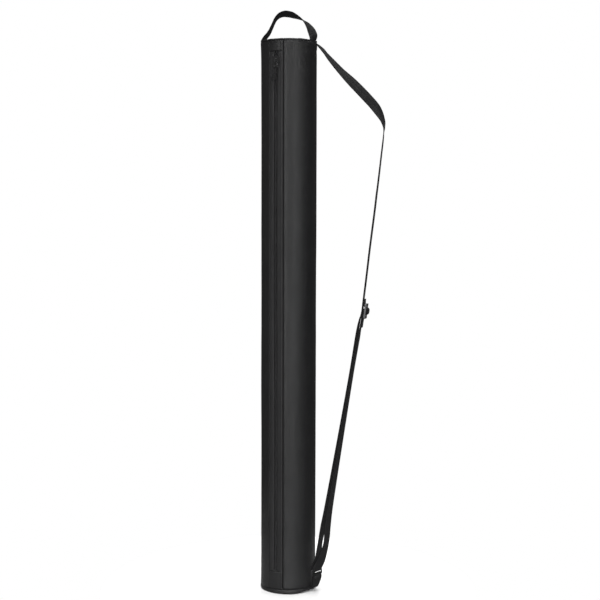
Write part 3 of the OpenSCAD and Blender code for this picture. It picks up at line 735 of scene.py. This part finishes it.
def straps():
    """The hand loop, the strap's lengths, its bight over the slide, the ring's tab, and two sewn boxes."""
    hand = ribbon("hand_loop_webbing", HAND, WEBBING, steps=7)
    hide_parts("handle_loop", "handle_foot_left", "handle_foot_right")
    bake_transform(hand)
    upper = ribbon("strap_upper_webbing", UPPER, WEBBING, steps=9, wave=0.5 * MM)
    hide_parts("strap_upper", "strap_top_anchor")
    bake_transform(upper)
    lower = ribbon("strap_lower_webbing", LOWER, WEBBING, steps=9)
    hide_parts("strap_lower", "strap_ring_loop")
    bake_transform(lower)
    back = ribbon("strap_return_webbing", RETURN, WEBBING, steps=8)
    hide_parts("strap_return", "strap_end_loop")
    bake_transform(back)
    bight = ribbon("strap_bight_webbing", BIGHT, WEBBING, steps=6)
    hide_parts("strap_bight")
    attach(bight, "strap_adjuster")
    tab = ribbon("ring_tab_webbing", TAB, WEBBING, steps=6)
    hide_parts("ring_tab")
    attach(tab, "bag")

    bm = bmesh.new()
    spot_at = Vector(by_glide(-21, SEWN - 1.1 + HALF_T + 0.1)) * MM
    box_stitch(bm, spot_at, GLIDE_SIDE, GLIDE_DIR, GLIDE_OUT, wide=10.5 * MM, long=9 * MM)
    end = put("strap_end_box_stitch", bm, THREAD)
    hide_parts("strap_end_stitches")
    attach(end, "strap_adjuster")
    bm = bmesh.new()
    spot_at = (RING_AT - UP * 3 + OUT * (WRAP + 0.85)) * MM
    box_stitch(bm, spot_at, SIDE, UP, OUT, wide=10.5 * MM, long=3.5 * MM)
    held = put("ring_tab_stitch", bm, THREAD)
    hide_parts("ring_tab_stitches")
    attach(held, "bag")


# ---------------------------------------------------------------- hardware
def assign(node, mat):
    """A better material on a CAD node that stays."""
    piece = bpy.data.objects[node]
    piece.data.materials.clear()
    piece.data.materials.append(mat)


def soften(node, mat, radius):
    """Rounds a CAD node's edges with a bevel and gives it its material."""
    piece = bpy.data.objects[node]
    assign(node, mat)
    mod = piece.modifiers.new("rounded_edges", "BEVEL")
    mod.width = radius
    mod.segments = 3
    mod.limit_method = "ANGLE"
    mod.angle_limit = math.radians(50)
    mod.harden_normals = False


def hardware():
    """Plastic and metal parts stay the CAD's own, with softer edges, and inner layers get their materials."""
    soften("tri_glide", MOULDED, 0.5 * MM)
    soften("strap_ring", RING_PLASTIC, 0.1 * MM)
    soften("zip_slider", ENAMEL, 0.35 * MM)
    soften("zip_pull", ENAMEL, 0.3 * MM)
    soften("zip_top_stops", ENAMEL, 0.25 * MM)
    soften("zip_bottom_stop", ENAMEL, 0.25 * MM)
    for node, mat in (("foam_padding", FOAM), ("lining", LINING), ("top_foam_disc", FOAM),
                      ("bottom_foam_disc", FOAM), ("bottom_board", BOARD),
                      ("inner_seam_tape_top", LINING), ("inner_seam_tape_bottom", LINING)):
        assign(node, mat)


# ---------------------------------------------------------------- the stage
def stage():
    """A round pale floor in a white studio, lit in front, weakly from the left, behind and from above.

    The world is white to the camera and dim as a light, so that it doesn't light the bag's edges.
    """
    bm = bmesh.new()
    rings = [0.02, 0.15, FLOOR_R]
    count = 96
    rows = [[spot(FULL * i / count, r, 0) for i in range(count)] for r in rings]
    add_grid(bm, rows, [[(i * 0.1, r) for i in range(count + 1)] for r in rings], loop=True)
    bm.faces.new(bm.verts[:count])
    bmesh.ops.recalc_face_normals(bm, faces=bm.faces)
    floor = put("floor", bm, floor_material())
    scene = bpy.context.scene
    scene.view_settings.view_transform = "Standard"
    world = bpy.data.worlds.new("studio")
    scene.world = world
    world.use_nodes = True
    tree = world.node_tree
    seen = tree.nodes.new("ShaderNodeLightPath")
    strength = tree.nodes.new("ShaderNodeMapRange")
    strength.inputs["To Min"].default_value = WORLD_LIGHT
    strength.inputs["To Max"].default_value = WORLD_SEEN
    tree.links.new(seen.outputs["Is Camera Ray"], strength.inputs["Value"])
    sky = tree.nodes["Background"]
    sky.inputs[0].default_value = (1, 1, 1, 1)
    tree.links.new(strength.outputs["Result"], sky.inputs[1])
    aim = (0, 0, 0.45)
    area_light("key", (0.16, -2.7, 0.9), aim, size=(0.18, 2.2), power=70)
    area_light("fill", (-2.4, -0.9, 1.0), aim, size=(1.0, 2.0), power=5)
    area_light("back", (0, 2.6, 1.1), aim, size=(0.4, 2.0), power=25)
    data = bpy.data.lights.new("overhead", "SUN")
    data.energy = 3.4
    data.angle = math.radians(40)
    lamp = bpy.data.objects.new("overhead", data)
    scene.collection.objects.link(lamp)


look(CAMERA_PITCH, CAMERA_ROLL, CAMERA_AT, CAMERA_DISTANCE, CAMERA_LENS)
main_sheet()
zip_strips()
patches()
coils()
topstitching()
rim("rim_top", "top_rim_binding", SEAM_TOP, TOP + 0.6 * MM, fold=1.1)
rim("rim_bottom", "bottom_rim_binding", SEAM_LOW, 0.0, fold=1.2)
end_panel("end_panel_top", "top_end_cap", TOP - 1.4 * MM, swell=2.2 * MM)
end_panel("end_panel_bottom", "bottom_end_cap", 0.4 * MM, swell=0.0)
rim_stitches()
straps()
hardware()
stage()
